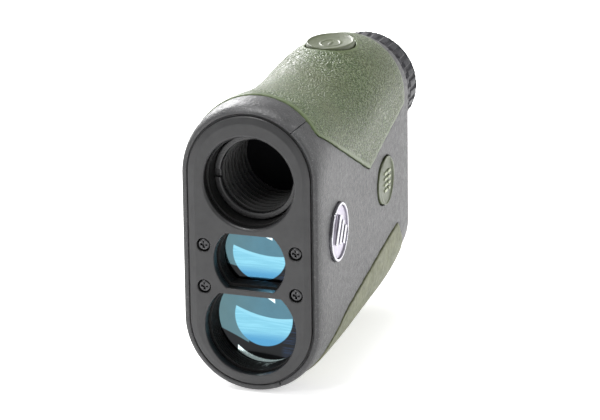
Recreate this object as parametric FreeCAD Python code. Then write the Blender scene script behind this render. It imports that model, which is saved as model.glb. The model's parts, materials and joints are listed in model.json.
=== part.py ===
import FreeCAD, Part
import math
import os

# A pocket laser rangefinder, made the way the real one is: a two-part hollow body with a rubber
# skin, a metal front plate, three optical paths one above the other, electronics and controls.
#
# Everything is drawn in the optical frame: the origin is on the objective's axis at the face of
# the front plate, X points to the right for someone who looks at that face, Y points back to the
# eyepiece and Z points up. save() moves each finished piece to the object's own frame, whose
# origin is under the middle of the object, on the surface that it stands on. Millimetres.

Vector = FreeCAD.Vector
AXIS_X = Vector(1, 0, 0)
AXIS_Y = Vector(0, 1, 0)
AXIS_Z = Vector(0, 0, 1)
FAR = 150.0                    # reaches past the object from any place on it

# ---- driving dimensions ---------------------------------------------------------------------
AXIS_HEIGHT = 54.0             # objective axis above the surface that the object stands on
LENGTH = 95.0                  # front plate to the rim of the eyecup
FIT = 0.05                     # radial clearance of a running or push fit
GAP = 0.3                      # clearance between pieces that move past one another
HAIRLINE = 0.12                # parting line between two fitted covers

# The body's outer surface: distance behind the plate's face, half width, top, bottom.
BODY_STATIONS = (
    (0.8, 17.30, 17.8, -53.3),
    (1.8, 17.62, 18.7, -53.7),
    (4.5, 17.85, 19.5, -53.9),
    (10.0, 17.70, 19.7, -54.2),
    (20.0, 17.10, 18.35, -54.3),
    (33.0, 16.40, 17.0, -53.9),
    (46.0, 15.90, 17.5, -52.9),
    (57.0, 15.40, 18.75, -52.2),
    (68.0, 15.05, 18.5, -51.0),
    (76.0, 14.75, 17.1, -49.1),
    (81.0, 14.52, 15.6, -47.5),
)
BODY_REAR = BODY_STATIONS[-1][0]
REAR_ROUND = 0.7               # rounding of the edge around the rear face
WALL = 1.9                     # thickness of the body's wall
SEAM = ((7.4, 10.7), (21.0, 21.8), (FAR, 21.8), (FAR, -60.0), (10.8, -60.0), (5.6, -47.5))

# Rubber skin
SKIN_DEPTH = 0.9               # how deep the skin is let into the body
SKIN_PROUD = 0.3               # how far it stands out of the body
GLUE = 0.06                    # adhesive under the skin
TOP_SKIN = ((7.6, 11.5), (20.0, 4.2), (44.8, -8.5), (76.2, -0.4), (76.2, 30.0), (11.6, 30.0))
TOP_SKIN_ROUNDS = (1.5, 25.0, 3.0, 1.5, 0.0, 0.0)
BOTTOM_SKIN = ((10.6, -60.0), (11.2, -44.2), (22.5, -39.0), (70.3, -30.8), (75.2, -38.5), (75.2, -60.0))
BOTTOM_SKIN_ROUNDS = (0.0, 3.0, 12.0, 1.6, 6.0, 0.0)
LAND_HALF = 4.0                # flat land under the belly, on which the object stands
LAND_ENDS = (12.0, 66.0)

# Front plate
PLATE_HALF = 15.7
PLATE_TOP = 16.85
PLATE_BOTTOM = -51.75
PLATE_THICK = 2.4
PLATE_GROOVE = 0.42            # open groove between the plate and the body
PLATE_BAND = 1.75              # width of the sloping border
PLATE_SLOPE = 0.45             # how far the border falls back
GASKET_THICK = 0.5
LEDGE_WIDTH = 1.7              # seat of the plate inside the body's front rim

# Optics, from top to bottom
HOLE_RADIUS = 11.6             # hole in the plate in front of the objective
HOLE_ROUND = 0.45
BARREL_OUTER = 12.3
BARREL_INNER = 11.2
RING_INNER = 9.35              # opening of the ring that holds the objective
RING_FRONT = 6.0
RING_THICK = 1.6
RING_FACE = 10.85              # outer radius of the ring's front face
BAFFLE_INNER = 10.3
BAFFLE_RIBS = 8
BAFFLE_PITCH = 2.25
OBJECTIVE_FRONT = 25.2         # foremost point of the objective's glass
TRANSMIT = (-20.3, 9.3, -13.25, -27.4)     # centre height, radius, flat top, flat bottom
RECEIVE = (-37.6, 11.85, -28.9, -49.4)
TRANSMIT_LENS_FRONT = 7.0
RECEIVE_LENS_FRONT = 8.8
LENS_DISH = 50.0               # radius of the dished front of the lower two lenses
LENS_THICK = 5.8
HOOD_WALL = 0.25
HOOD_STEP = 0.2
FRAME_FRONT = 3.2              # moulded frame that holds all three optical paths
FRAME_REAR = 34.0
FRAME_HALF = 13.8
POSTS = ((-8.0, -15.6), (8.0, -15.6), (-8.0, -43.0), (8.0, -43.0))   # behind the frame
BOARD_FRONT = 37.0
FLANGE_FRONT = 34.2             # seats of the laser and the receiver can
FLANGE_REAR = 35.4
PIN_RADIUS = 0.22
PIN_END = 39.4
LASER_PINS = ((-1.0, 0.6), (1.0, 0.6), (0.0, -1.1))
DETECTOR_PINS = ((-1.8, -1.8), (-1.8, 1.8), (1.8, -1.8), (1.8, 1.8))
DETECTOR_FRONT = 31.4
FILTER_RADIUS = 2.35
BOARD_THICK = 1.2
SCREW_X = 11.9
SCREW_HEIGHTS = (-16.8, -27.5)
SCREW_HEAD_RADIUS = 1.55
SCREW_SHANK_RADIUS = 0.9

# Eyepiece
EYE_TUBE_OUTER = 10.3
EYE_TUBE_INNER = 9.3
EYE_TUBE_FRONT = 62.0
EYE_TUBE_REAR = 88.6
RING_OUTER = 12.75             # focusing ring, without its grip pads
PAD_HEIGHT = 0.5
PAD_COUNT = 30                 # pads in each of two staggered rows
PAD_LENGTH = 4.0
PAD_ROW_GAP = 0.8
PAD_GAP_HALF = 0.55
RING_START = 81.4
RING_END = 92.0
CUP_RADIUS = 11.3

# Controls
FIRE_Y = 61.8
FIRE_AXES = (6.0, 7.3)       # half width and half length of the top button
FIRE_TOP = 18.95
FIRE_COLLAR = (13.75, 14.55)   # bottom and top of the collar that keeps the button in
TOP_BOARD_FACE = 11.3
MODE_PLACE = (59.3, -16.0)
MODE_AXES = (7.2, 6.1)        # half length and half height of the side button
MODE_PROUD = 0.35
BADGE_PLACE = (16.0, -15.6)
BADGE_AXES = (7.5, 7.3)
BADGE_RIM = 0.6                # width of the polished rim
BADGE_BAR_HALF = 0.7
BADGE_BAR_PITCH = 2.5
BADGE_BAR_SLANT = 28

# Power
CELL_RADIUS = 7.8              # three-volt photo cell, 15.6 across and 27 long
CELL_LENGTH = 27.0
CELL_HEIGHT = -34.0
CELL_FRONT = 50.0
CAP_RADIUS = 10.0
CAP_THICK = 1.5
CAP_START = BODY_REAR + 0.1

# Lanyard loop, a bent wire that stands out of the rear face beside its right edge
LOOP_X = 12.95
LOOP_MIDDLE = -24.1
LOOP_HEIGHT = 4.4              # over the wire
LOOP_REAR = 83.7
LOOP_WIRE = 0.6                # radius of the wire


# ---- helpers --------------------------------------------------------------------------------
def save(shape, node):
    """Move a piece to the object's frame and write it."""
    placed = shape.copy()
    placed.translate(Vector(0, -LENGTH / 2, AXIS_HEIGHT))
    placed.exportStep("parts/" + node + ".step")
    solids = len(placed.Solids)
    print(f"{node:24s} {solids} solid(s) {placed.Volume:10.1f} mm3  valid {placed.isValid()}")


def stadium(y, half, top, bottom):
    """Upright outline with half-round ends, across the optical axis."""
    upper = top - half
    lower = bottom + half
    right_top = Vector(half, y, upper)
    left_top = Vector(-half, y, upper)
    left_low = Vector(-half, y, lower)
    right_low = Vector(half, y, lower)
    return Part.Wire([
        Part.Arc(right_top, Vector(0, y, top), left_top).toShape(),
        Part.LineSegment(left_top, left_low).toShape(),
        Part.Arc(left_low, Vector(0, y, bottom), right_low).toShape(),
        Part.LineSegment(right_low, right_top).toShape(),
    ])


def stadium_prism(half, top, bottom, front, rear):
    face = Part.Face(stadium(front, half, top, bottom))
    return face.extrude(AXIS_Y * (rear - front))


def skin(offset):
    """Solid inside the body's outer surface, grown by offset."""
    sections = []
    for y, half, top, bottom in BODY_STATIONS:
        sections.append(stadium(y, half + offset, top + offset, bottom - offset))
    return Part.makeLoft(sections, True, False)


def half_width(y):
    """The body's half width at a place along it."""
    for before, after in zip(BODY_STATIONS, BODY_STATIONS[1:]):
        if before[0] <= y <= after[0]:
            share = (y - before[0]) / (after[0] - before[0])
            return before[1] + share * (after[1] - before[1])
    raise ValueError(y)


def slab(front, rear):
    """Everything between two planes across the optical axis."""
    return Part.makeBox(2 * FAR, rear - front, 4 * FAR, Vector(-FAR, front, -2 * FAR))


def rod(radius, front, rear, z=0.0, x=0.0):
    """Cylinder along the optical axis."""
    return Part.makeCylinder(radius, rear - front, Vector(x, front, z), AXIS_Y)


def tube(outer, inner, front, rear, z=0.0):
    return rod(outer, front, rear, z).cut(rod(inner, front - 1, rear + 1, z))


def block(x0, x1, y0, y1, z0, z1):
    return Part.makeBox(x1 - x0, y1 - y0, z1 - z0, Vector(x0, y0, z0))


def window(shape, shrink, front, rear):
    """Round opening with a flat top and a flat bottom; shape is centre, radius, top, bottom."""
    centre, radius, top, bottom = shape
    band = block(-FAR, FAR, front - 1, rear + 1, bottom + shrink, top - shrink)
    return rod(radius - shrink, front, rear, centre).common(band)


def outline(points, rounds, place, closed=True):
    """Outline with rounded corners; place turns a pair of numbers into a point."""
    edges = []
    ends = []
    count = len(points)
    for i in range(count):
        corner = place(*points[i])
        back = (place(*points[i - 1]) - corner).normalize()
        ahead = (place(*points[(i + 1) % count]) - corner).normalize()
        radius = rounds[i]
        if radius == 0:
            ends.append((corner, corner))
            continue
        half_angle = back.getAngle(ahead) / 2
        reach = radius / math.tan(half_angle)
        middle = (back + ahead).normalize()
        centre = corner + middle * (radius / math.sin(half_angle))
        start = corner + back * reach
        end = corner + ahead * reach
        edges.append(Part.Arc(start, centre - middle * radius, end).toShape())
        ends.append((start, end))
    for i in range(count if closed else count - 1):
        edges.append(Part.LineSegment(ends[i][1], ends[(i + 1) % count][0]).toShape())
    return Part.Wire(Part.__sortEdges__(edges))


def across(points, rounds, grow=0.0):
    """Prism right through the object from side to side, from an outline seen from the side."""
    wire = outline(points, rounds, lambda y, z: Vector(-FAR, y, z))
    face = Part.Face(wire)
    if grow:
        face = face.makeOffset2D(grow)
    return face.extrude(AXIS_X * 2 * FAR)


def ellipse(centre, normal, long_way, long_half, short_half):
    """Flat oval face."""
    place = FreeCAD.Placement(centre, FreeCAD.Rotation(long_way, normal.cross(long_way), normal, "ZXY"))
    curve = Part.Ellipse()
    curve.MajorRadius = long_half
    curve.MinorRadius = short_half
    wire = Part.Wire([curve.toShape()])
    wire.Placement = place
    return Part.Face(wire)


def top_oval(grow, low, high):
    """Upright oval prism around the top button's centre."""
    face = ellipse(Vector(0, FIRE_Y, low), AXIS_Z, AXIS_Y, FIRE_AXES[1] + grow, FIRE_AXES[0] + grow)
    return face.extrude(AXIS_Z * (high - low))


def side_oval(place, axes, grow, near, far):
    """Oval prism across the button side; near and far are distances from the middle plane."""
    centre = Vector(near, place[0], place[1])
    face = ellipse(centre, AXIS_X, AXIS_Y, axes[0] + grow, axes[1] + grow)
    return face.extrude(AXIS_X * (far - near))


# ---- body and skin --------------------------------------------------------------------------
def rear_edges(body):
    return [edge for edge in body.Edges if edge.BoundBox.YMin > BODY_REAR - 0.01]


def body_shell():
    """Hollow body with its openings, before it is parted into two covers."""
    outer = skin(0)
    outer = outer.makeFillet(REAR_ROUND, rear_edges(outer))
    for points, rounds in ((TOP_SKIN, TOP_SKIN_ROUNDS), (BOTTOM_SKIN, BOTTOM_SKIN_ROUNDS)):
        outer = outer.cut(across(points, rounds, HAIRLINE))
    shell = outer.fuse(skin(-SKIN_DEPTH))
    shell = shell.cut(skin(-WALL).common(slab(FRAME_FRONT + 1, BODY_REAR - WALL)))
    seat_rear = PLATE_THICK + GASKET_THICK
    seat = stadium_prism(PLATE_HALF + PLATE_GROOVE, PLATE_TOP + PLATE_GROOVE,
                         PLATE_BOTTOM - PLATE_GROOVE, -1, seat_rear)
    throat = stadium_prism(PLATE_HALF - LEDGE_WIDTH + GAP, PLATE_TOP - LEDGE_WIDTH + GAP,
                           PLATE_BOTTOM + LEDGE_WIDTH - GAP, seat_rear - 1, FRAME_FRONT + 2)
    shell = shell.cut(seat).cut(throat)
    shell = shell.cut(rod(EYE_TUBE_OUTER + FIT, BODY_REAR - 5, BODY_REAR + 1))
    shell = shell.cut(rod(CELL_RADIUS + 1.2, BODY_REAR - 5, BODY_REAR + 1, CELL_HEIGHT))
    shell = shell.cut(top_oval(GAP, 0, FAR))
    shell = shell.cut(side_oval(MODE_PLACE, MODE_AXES, GAP, 5, FAR))
    shell = shell.cut(side_oval(BADGE_PLACE, BADGE_AXES, FIT, half_width(BADGE_PLACE[0]) - 0.9, FAR))
    return shell.cut(lanyard_loop())


def lanyard_loop():
    """Wire bent like a staple, with both ends set into the rear wall."""
    reach = LOOP_HEIGHT / 2 - LOOP_WIRE
    rear = LOOP_REAR - LOOP_WIRE
    corner = 2 * LOOP_WIRE
    ends = BODY_REAR - WALL - 0.4
    points = ((ends, -reach), (rear, -reach), (rear, reach), (ends, reach))
    path = outline(points, (0, corner, corner, 0),
                   lambda y, z: Vector(LOOP_X, y, LOOP_MIDDLE + z), closed=False)
    start = Vector(LOOP_X, ends, LOOP_MIDDLE - reach)
    section = Part.Wire([Part.makeCircle(LOOP_WIRE, start, AXIS_Y)])
    return path.makePipeShell([section], True, False)


def side_field(shift):
    """The part of space that belongs to the cover on the button side."""
    points = [(x + shift, z) for x, z in SEAM]
    wire = outline(points, (0,) * len(points), lambda x, z: Vector(x, -FAR, z))
    return Part.Face(wire).extrude(AXIS_Y * 4 * FAR)


def shell_left(shell):
    return shell.cut(side_field(0))


def shell_right(shell):
    return shell.common(side_field(HAIRLINE))


def skin_layer():
    return skin(SKIN_PROUD).cut(skin(GLUE - SKIN_DEPTH))


def top_skin():
    """Grained rubber over the top, with a pointed lower edge on each side."""
    cover = skin_layer().common(across(TOP_SKIN, TOP_SKIN_ROUNDS))
    return cover.cut(top_oval(GAP, 0, FAR))


def bottom_skin():
    """Rubber around the belly, flattened underneath so that the object can stand."""
    cover = skin_layer().common(across(BOTTOM_SKIN, BOTTOM_SKIN_ROUNDS))
    land = block(-LAND_HALF, LAND_HALF, *LAND_ENDS, -AXIS_HEIGHT - 1, -AXIS_HEIGHT + 4)
    cover = cover.fuse(land.cut(skin(GLUE - SKIN_DEPTH)))
    return cover.cut(block(-FAR, FAR, -FAR, FAR, -FAR, -AXIS_HEIGHT))


# ---- front plate ----------------------------------------------------------------------------
def front_plate():
    """Anodised plate with a sloping border, three openings and four counterbored holes."""
    slope_rear = PLATE_SLOPE
    face_outline = stadium(0, PLATE_HALF - PLATE_BAND, PLATE_TOP - PLATE_BAND, PLATE_BOTTOM + PLATE_BAND)
    edge_outline = stadium(slope_rear, PLATE_HALF, PLATE_TOP, PLATE_BOTTOM)
    plate = Part.makeLoft([face_outline, edge_outline], True, True)
    plate = plate.fuse(stadium_prism(PLATE_HALF, PLATE_TOP, PLATE_BOTTOM, slope_rear, PLATE_THICK))
    plate = plate.cut(rod(HOLE_RADIUS, -1, PLATE_THICK + 1))
    mouth = Part.makeCone(HOLE_RADIUS + HOLE_ROUND, HOLE_RADIUS, HOLE_ROUND, Vector(0, 0, 0), AXIS_Y)
    plate = plate.cut(mouth)
    for shape in (TRANSMIT, RECEIVE):
        plate = plate.cut(window(shape, 0, -1, PLATE_THICK + 1))
    for x, z in screw_places():
        plate = plate.cut(rod(SCREW_HEAD_RADIUS + 0.2, -1, 1.15, z, x))
        plate = plate.cut(rod(SCREW_SHANK_RADIUS + 0.2, 0, PLATE_THICK + 1, z, x))
    return plate


def screw_places():
    return [(side * SCREW_X, z) for side in (-1, 1) for z in SCREW_HEIGHTS]


def plate_screws():
    """Cross-recessed screws; each recess is cut into the head."""
    screws = []
    for x, z in screw_places():
        head = rod(SCREW_HEAD_RADIUS, 0.3, 1.1, z, x)
        shank = rod(SCREW_SHANK_RADIUS, 1.1, 6.2, z, x)
        screw = head.fuse(shank)
        arm = 0.95
        slot = 0.21
        screw = screw.cut(block(x - arm, x + arm, 0.2, 0.85, z - slot, z + slot))
        screw = screw.cut(block(x - slot, x + slot, 0.2, 0.85, z - arm, z + arm))
        screws.append(screw)
    return Part.makeCompound(screws)


def plate_gasket():
    outer = PLATE_HALF - 0.1
    width = LEDGE_WIDTH - 0.6
    front = PLATE_THICK + 0.02
    rear = PLATE_THICK + GASKET_THICK - 0.02
    ring = stadium_prism(outer, PLATE_TOP - 0.1, PLATE_BOTTOM + 0.1, front, rear)
    return ring.cut(stadium_prism(outer - width, PLATE_TOP - 0.1 - width,
                                  PLATE_BOTTOM + 0.1 + width, front - 1, rear + 1))


# ---- optics ---------------------------------------------------------------------------------
def optics_frame():
    """Moulded frame with one bore for each optical path and bosses for the plate's screws."""
    frame = stadium_prism(FRAME_HALF, 14.6, -50.2, FRAME_FRONT, FRAME_REAR)
    frame = frame.cut(rod(BARREL_OUTER + FIT, FRAME_FRONT - 1, FRAME_REAR + 1))
    for shape, rear_hole in ((TRANSMIT, 2.95), (RECEIVE, 4.75)):
        frame = frame.cut(window(shape, 0, FRAME_FRONT - 1, FRAME_REAR - 3))
        frame = frame.cut(rod(rear_hole, FRAME_REAR - 5, FRAME_REAR + 1, shape[0]))
    for x, z in screw_places():
        frame = frame.cut(rod(SCREW_SHANK_RADIUS + FIT, FRAME_FRONT - 1, 7.0, z, x))
    for x, z in POSTS:
        frame = frame.fuse(rod(1.5, FRAME_REAR - 1, BOARD_FRONT, z, x))
        frame = frame.cut(rod(0.7 + FIT, FRAME_REAR + 0.4, BOARD_FRONT + 1, z, x))
    return frame


def objective_barrel():
    return tube(BARREL_OUTER, BARREL_INNER, PLATE_THICK + 0.2, 36.0)


def objective_ring():
    """Threaded ring that holds the baffle and the lenses, with two slots for a spanner."""
    rear = RING_FRONT + RING_THICK
    ring = tube(RING_FACE, RING_INNER, RING_FRONT, rear)
    ring = ring.fuse(tube(BARREL_INNER - FIT, RING_INNER + 0.6, RING_FRONT + 0.8, rear))
    bevel = 0.25
    ring = ring.cut(Part.makeCone(RING_INNER + bevel, RING_INNER, bevel, Vector(0, RING_FRONT, 0), AXIS_Y))
    for side in (-1, 1):
        slot = block(RING_INNER - 0.5, BARREL_INNER + 1, RING_FRONT - 1, RING_FRONT + 0.7, -1.0, 1.0)
        slot.rotate(Vector(0, 0, 0), AXIS_Y, 90 - side * 90)
        ring = ring.cut(slot)
    return ring


def objective_baffle():
    """Tube with light-trapping ribs in front of the objective."""
    front = RING_FRONT + RING_THICK + 0.05
    baffle = tube(BARREL_INNER - FIT, BAFFLE_INNER, front, front + BAFFLE_RIBS * BAFFLE_PITCH)
    for i in range(BAFFLE_RIBS):
        start = front + i * BAFFLE_PITCH + 0.9
        rib = tube(BARREL_INNER - 0.5, RING_INNER - 0.1, start, start + 0.6)
        baffle = baffle.fuse(rib)
    return baffle


def objective_front_lens():
    """Biconvex front element, seated against the baffle."""
    front = OBJECTIVE_FRONT
    body = rod(BARREL_INNER - FIT, front, front + 8)
    front_ball = Part.makeSphere(46.0, Vector(0, front + 46.0, 0))
    rear_ball = Part.makeSphere(40.0, Vector(0, front + 6.0 - 40.0, 0))
    return body.common(front_ball).common(rear_ball)


def objective_rear_lens():
    """Thin negative element behind the front one."""
    front = OBJECTIVE_FRONT + 4.3
    body = rod(BARREL_INNER - FIT, front, front + 4.0)
    hollow = Part.makeSphere(40.0, Vector(0, OBJECTIVE_FRONT + 6.05 - 40.0, 0))
    return body.cut(hollow)


def path_lens(shape, front, rear_curve):
    """Lens cut to the outline of its opening, with a dished front and a full rear."""
    centre, radius = shape[:2]
    dish = LENS_DISH - math.sqrt(LENS_DISH ** 2 - radius ** 2)
    rear = front + LENS_THICK
    body = window(shape, FIT, front, rear)
    body = body.common(Part.makeSphere(rear_curve, Vector(0, rear - rear_curve, centre)))
    return body.cut(Part.makeSphere(LENS_DISH, Vector(0, front + dish - LENS_DISH, centre)))


def path_hood(shape, rear):
    """Liner with shallow steps in front of a lens."""
    front = FRAME_FRONT
    hood = window(shape, FIT, front, rear)
    hood = hood.cut(window(shape, HOOD_WALL + FIT, front - 1, rear + 1))
    pitch = 0.9
    count = int((rear - front) / pitch)
    for i in range(count):
        start = front + i * pitch
        step = window(shape, HOOD_WALL, start, start + pitch / 2)
        hood = hood.fuse(step.cut(window(shape, HOOD_WALL + HOOD_STEP, start - 1, start + 2)))
    return hood


def laser_diode():
    """Small can on a flange, with three pins that pass through the board."""
    z = TRANSMIT[0]
    can = rod(2.3, 31.6, FLANGE_FRONT, z).fuse(rod(2.8, FLANGE_FRONT, FLANGE_REAR, z))
    for x, dz in LASER_PINS:
        can = can.fuse(rod(PIN_RADIUS, FLANGE_REAR - 0.1, PIN_END, z + dz, x))
    return can


def detector():
    """Receiver can with a glass-covered window and four pins."""
    z = RECEIVE[0]
    can = rod(4.1, DETECTOR_FRONT, FLANGE_FRONT, z).fuse(rod(4.6, FLANGE_FRONT, FLANGE_REAR, z))
    can = can.cut(rod(FILTER_RADIUS + FIT, DETECTOR_FRONT - 1, DETECTOR_FRONT + 0.5, z))
    for x, dz in DETECTOR_PINS:
        can = can.fuse(rod(PIN_RADIUS, FLANGE_REAR - 0.1, PIN_END, z + dz, x))
    return can


def detector_filter():
    return rod(FILTER_RADIUS, DETECTOR_FRONT + 0.05, DETECTOR_FRONT + 0.45, RECEIVE[0])


def prism_cage():
    """Open box behind the objective barrel that carries the erecting prisms."""
    cage = block(-11.2, 11.2, 36.4, 58.4, -11.2, 10.4)
    cage = cage.cut(block(-9.4, 9.4, 38.0, 56.8, -9.4, 12.0))
    return cage.cut(rod(8.6, 36.0, 59.0))


def wedge(points, half):
    wire = outline(points, (0,) * len(points), lambda y, z: Vector(-half, y, z))
    return Part.Face(wire).extrude(AXIS_X * 2 * half)


def half_prism():
    """First erecting prism, a wedge that folds the path down."""
    return wedge(((39.0, 8.8), (46.4, 8.8), (39.0, -9.0)), 9.0)


def roof_prism():
    """Second erecting prism, with its roof on top."""
    prism = wedge(((47.0, 8.8), (39.6, -9.0), (55.6, -9.0), (55.6, 3.0), (51.8, 8.8)), 9.0)
    for side in (-1, 1):
        slope = Part.makeBox(2 * FAR, 2 * FAR, FAR, Vector(-FAR, 0, 0))
        slope.rotate(Vector(0, 0, 0), AXIS_Y, side * 45)
        slope.translate(Vector(0, 20, 8.8))
        prism = prism.cut(slope.common(block(-FAR, FAR, 0, FAR, 4.0, FAR)))
    return prism


def display_panel():
    """Clear liquid-crystal plate that shows the reading in the view."""
    return block(-8.0, 8.0, 58.6, 60.2, -8.0, 7.6)


# ---- eyepiece -------------------------------------------------------------------------------
def eyepiece_tube():
    """Fixed tube through the rear wall, with a flange inside it."""
    body = rod(EYE_TUBE_OUTER, EYE_TUBE_FRONT, EYE_TUBE_REAR)
    flange = rod(EYE_TUBE_OUTER + 1.4, 75.4, 77.2)
    bore = rod(EYE_TUBE_INNER, EYE_TUBE_FRONT + 1.2, EYE_TUBE_REAR + 1)
    return body.fuse(flange).cut(bore).cut(rod(8.2, EYE_TUBE_FRONT - 1, EYE_TUBE_REAR))


def field_lens():
    z0 = EYE_TUBE_FRONT + 1.3
    body = rod(EYE_TUBE_INNER - FIT, z0, z0 + 4)
    return body.common(Part.makeSphere(22.0, Vector(0, z0 + 4 - 22.0, 0)))


def eye_cell():
    """Keyed cell that slides in the tube when the ring is turned."""
    cell = tube(EYE_TUBE_INNER - FIT, 8.2, 79.6, 88.4)
    return cell.fuse(tube(EYE_TUBE_INNER - FIT, 7.6, 87.6, 88.8))


def eye_lens():
    body = rod(8.15, 82.6, 87.5)
    front = Part.makeSphere(16.0, Vector(0, 82.6 + 16.0, 0))
    rear = Part.makeSphere(26.0, Vector(0, 87.5 - 26.0, 0))
    return body.common(front).common(rear)


def focus_ring():
    """Turning ring with two staggered rows of grip pads around it."""
    ring = tube(RING_OUTER + PAD_HEIGHT, EYE_TUBE_OUTER + FIT, RING_START, RING_END)
    ring = ring.fuse(tube(RING_OUTER - 1, 9.6, RING_END - 1.7, RING_END))
    first = RING_START + 0.9
    rows = [(start, start + PAD_LENGTH) for start in (first, first + PAD_LENGTH + PAD_ROW_GAP)]
    turn = 360.0 / PAD_COUNT
    grooves = []
    for row, (front, rear) in enumerate(rows):
        for i in range(PAD_COUNT):
            groove = block(-PAD_GAP_HALF, PAD_GAP_HALF, front, rear, RING_OUTER, RING_OUTER + 5)
            groove.rotate(Vector(0, 0, 0), AXIS_Y, (i + row / 2) * turn)
            grooves.append(groove)
    for front in (RING_START + 0.3, rows[0][1], rows[1][1]):
        grooves.append(tube(RING_OUTER + 5, RING_OUTER, front, front + PAD_ROW_GAP))
    return ring.cut(grooves)


def eyecup():
    """Soft rim that the brow rests on."""
    cup = tube(CUP_RADIUS, 8.7, RING_END + 0.02, LENGTH)
    flare = Part.makeCone(8.7, CUP_RADIUS - 1.0, 2.2, Vector(0, LENGTH - 2.2, 0), AXIS_Y)
    return cup.cut(flare)


# ---- controls -------------------------------------------------------------------------------
def fire_button():
    """Oval power and fire button with a dished top, a collar and a short stem."""
    bottom, top = FIRE_COLLAR
    button = top_oval(0, bottom, FIRE_TOP)
    collar = top_oval(0.9, bottom, top)
    dish_radius = 30.0
    dish = Part.makeSphere(dish_radius, Vector(0, FIRE_Y, FIRE_TOP - 0.75 + dish_radius))
    stem = Part.makeCylinder(1.0, 1.0, Vector(0, FIRE_Y, bottom - 0.85), AXIS_Z)
    return button.fuse(collar).cut(dish).fuse(stem)


def fire_dome():
    """Rubber dome that pushes the button back up."""
    base = Vector(0, FIRE_Y, TOP_BOARD_FACE + 0.05)
    height = FIRE_COLLAR[0] - TOP_BOARD_FACE - 0.1
    outer = Part.makeCone(4.0, 2.8, height, base, AXIS_Z)
    inner = Part.makeCone(3.4, 2.2, height, base, AXIS_Z)
    return outer.cut(inner)


def fire_switch():
    """Contact under the middle of the dome."""
    return Part.makeCylinder(1.5, 0.7, Vector(0, FIRE_Y, TOP_BOARD_FACE + 0.05), AXIS_Z)


def top_board():
    return block(-7.0, 7.0, 53.0, 69.0, TOP_BOARD_FACE - 0.7, TOP_BOARD_FACE)


def mode_button():
    """Oval side button that follows the body's surface, with a collar and a stem."""
    body = side_oval(MODE_PLACE, MODE_AXES, 0, 12.9, FAR).common(skin(MODE_PROUD))
    collar = side_oval(MODE_PLACE, MODE_AXES, 0.8, 12.2, 12.95)
    y, z = MODE_PLACE
    stem = Part.makeCylinder(1.0, 1.3, Vector(11.0, y, z), AXIS_X)
    return body.fuse(collar).fuse(stem)


def mode_plunger():
    """Small pin in the switch that the button's stem pushes."""
    y, z = MODE_PLACE
    return Part.makeCylinder(0.7, 1.0, Vector(9.98, y, z), AXIS_X)


def mode_switch():
    y, z = MODE_PLACE
    base = block(7.65, 10.2, y - 2.3, y + 2.3, z - 2.3, z + 2.3)
    return base.cut(Part.makeCylinder(0.75, 2.0, Vector(9.2, y, z), AXIS_X))


def main_board():
    board = block(6.7, 7.6, 40.6, 74.0, -24.3, -11.8)
    for y in (43.0, 71.5):
        board = board.cut(Part.makeCylinder(0.9, 5, Vector(5, y, -14.0), AXIS_X))
    return board


def processor():
    return block(5.4, 6.65, 44.0, 52.0, -22.2, -14.2)


def sensor_board():
    """Upright board across the rear of the optics frame."""
    board = block(-9.9, 9.9, BOARD_FRONT, BOARD_FRONT + BOARD_THICK, -45.0, -13.6)
    for x, z in POSTS:
        board = board.cut(rod(0.9, BOARD_FRONT - 1, BOARD_FRONT + 3, z, x))
    for z, pins in ((TRANSMIT[0], LASER_PINS), (RECEIVE[0], DETECTOR_PINS)):
        for x, dz in pins:
            board = board.cut(rod(PIN_RADIUS + 0.18, BOARD_FRONT - 1, BOARD_FRONT + 3, z + dz, x))
    return board


def board_screws():
    """Pan-head screws that hold the sensor board on the frame's posts."""
    screws = []
    for x, z in POSTS:
        rear = BOARD_FRONT + BOARD_THICK
        screws.append(rod(0.7, FRAME_REAR + 0.6, rear, z, x).fuse(rod(1.3, rear, rear + 0.8, z, x)))
    return Part.makeCompound(screws)


def badge_bezel():
    """Polished oval rim of the badge."""
    base = half_width(BADGE_PLACE[0]) - 0.85
    solid = side_oval(BADGE_PLACE, BADGE_AXES, 0, base, FAR).common(skin(0.75))
    inner = side_oval(BADGE_PLACE, BADGE_AXES, -BADGE_RIM, base + 0.4, FAR)
    return solid.cut(inner)


def badge_face():
    """Slightly domed plate inside the rim, with three raised slanted bars."""
    base = half_width(BADGE_PLACE[0]) - 0.42
    plate = side_oval(BADGE_PLACE, BADGE_AXES, -BADGE_RIM - FIT, base, FAR).common(skin(0.3))
    y, z = BADGE_PLACE
    bars = []
    for row, half_long in ((-1, 3.8), (0, 3.1), (1, 2.3)):
        middle = row * BADGE_BAR_PITCH
        bar = block(base, FAR, middle - BADGE_BAR_HALF, middle + BADGE_BAR_HALF, -half_long, half_long)
        bar.rotate(Vector(0, 0, 0), AXIS_X, -BADGE_BAR_SLANT)
        bar.translate(Vector(0, y, z))
        bars.append(bar.common(skin(0.6)))
    return plate.fuse(bars)


# ---- power ----------------------------------------------------------------------------------
def battery_cell():
    rear = CELL_FRONT + CELL_LENGTH - 1.2
    return rod(CELL_RADIUS, CELL_FRONT, rear, CELL_HEIGHT).fuse(rod(3.2, rear, rear + 1.0, CELL_HEIGHT))


def battery_tube():
    """Closed-end tube around the cell, open to the rear."""
    body = rod(CELL_RADIUS + 1.2, CELL_FRONT - 4.2, 76.6, CELL_HEIGHT)
    return body.cut(rod(CELL_RADIUS + 0.2, CELL_FRONT - 3.2, 78.0, CELL_HEIGHT))


def battery_spring():
    """Flat-wound contact spring at the closed end."""
    turns = []
    for i, radius in enumerate((6.0, 5.2, 4.4, 3.6)):
        turns.append(Part.makeTorus(radius, 0.32, Vector(0, CELL_FRONT - 2.86 + 0.8 * i, CELL_HEIGHT), AXIS_Y))
    return Part.makeCompound(turns)


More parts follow.
